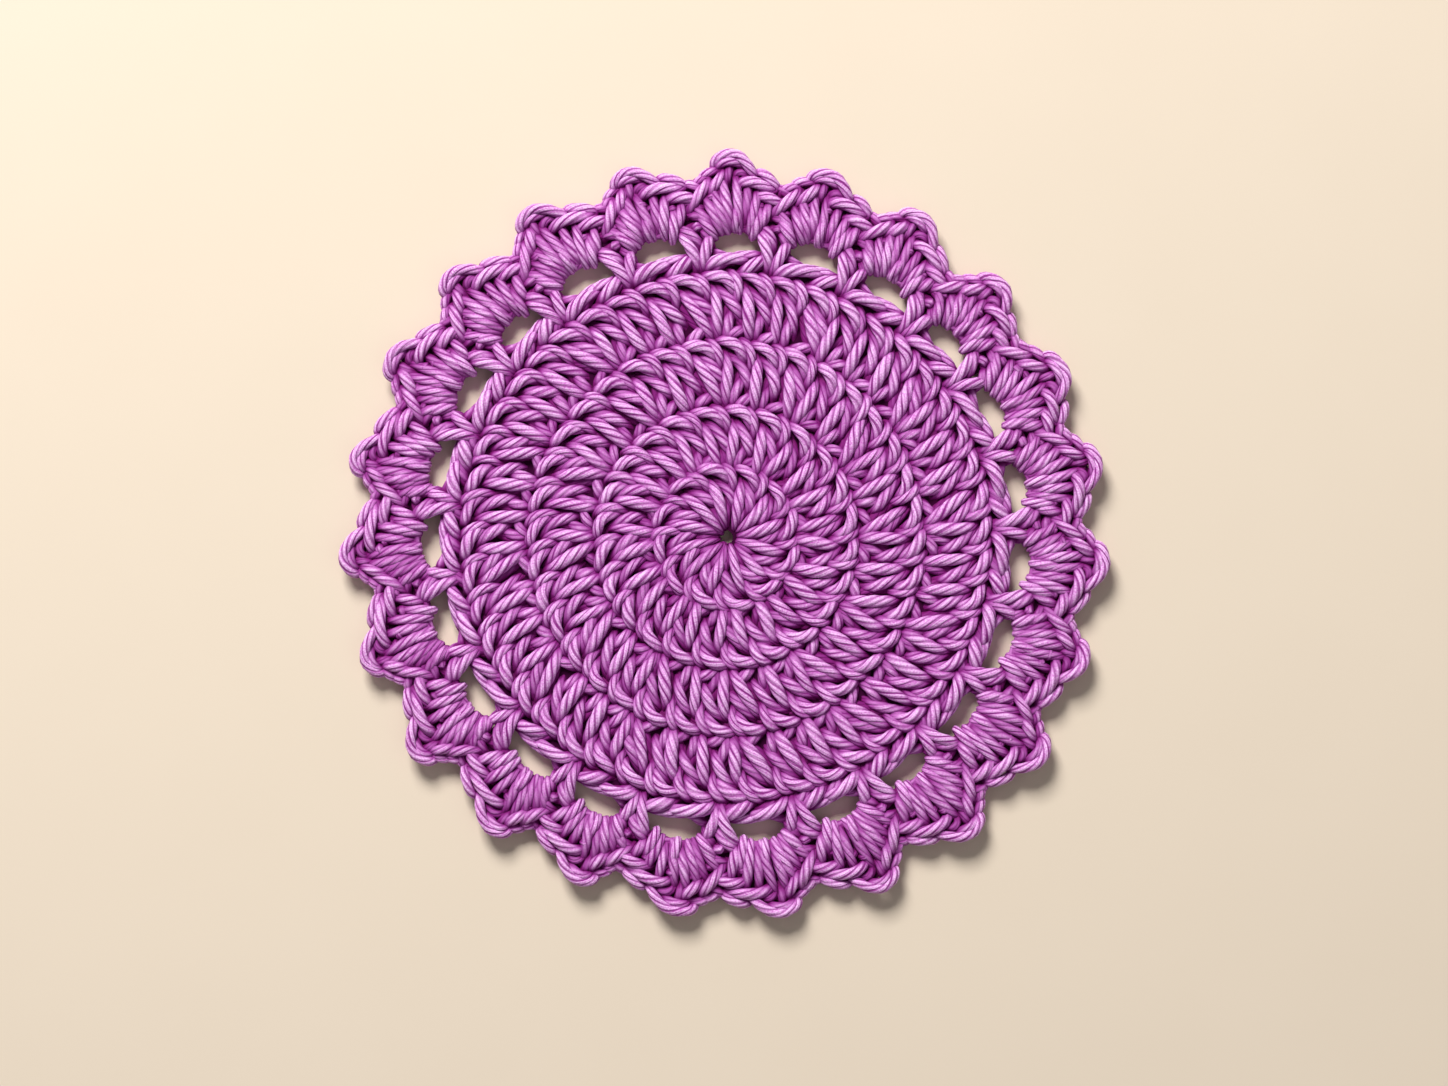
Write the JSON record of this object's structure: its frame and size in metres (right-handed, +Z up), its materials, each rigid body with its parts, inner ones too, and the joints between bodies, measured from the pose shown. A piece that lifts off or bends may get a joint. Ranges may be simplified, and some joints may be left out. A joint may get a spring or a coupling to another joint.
{
  "type": "crochet coaster",
  "caption": "Round flat crochet cotton mat for a cup: close rounds of tall stitches, a ring of open chain arches and a border of pointed scallops.",
  "frame": {"origin": "centre of the rounds, on the face that the coaster lies on", "axes": "+Z up through the worked face, +Y towards the top of the picture, +X to its right"},
  "size_m": [0.1202, 0.1199, 0.004],
  "materials": {
    "purple_cotton": "soft sheen, plied cotton yarn"
  },
  "bodies": {
    "root": {"coaster": "purple_cotton"}
  },
  "joints": []
}
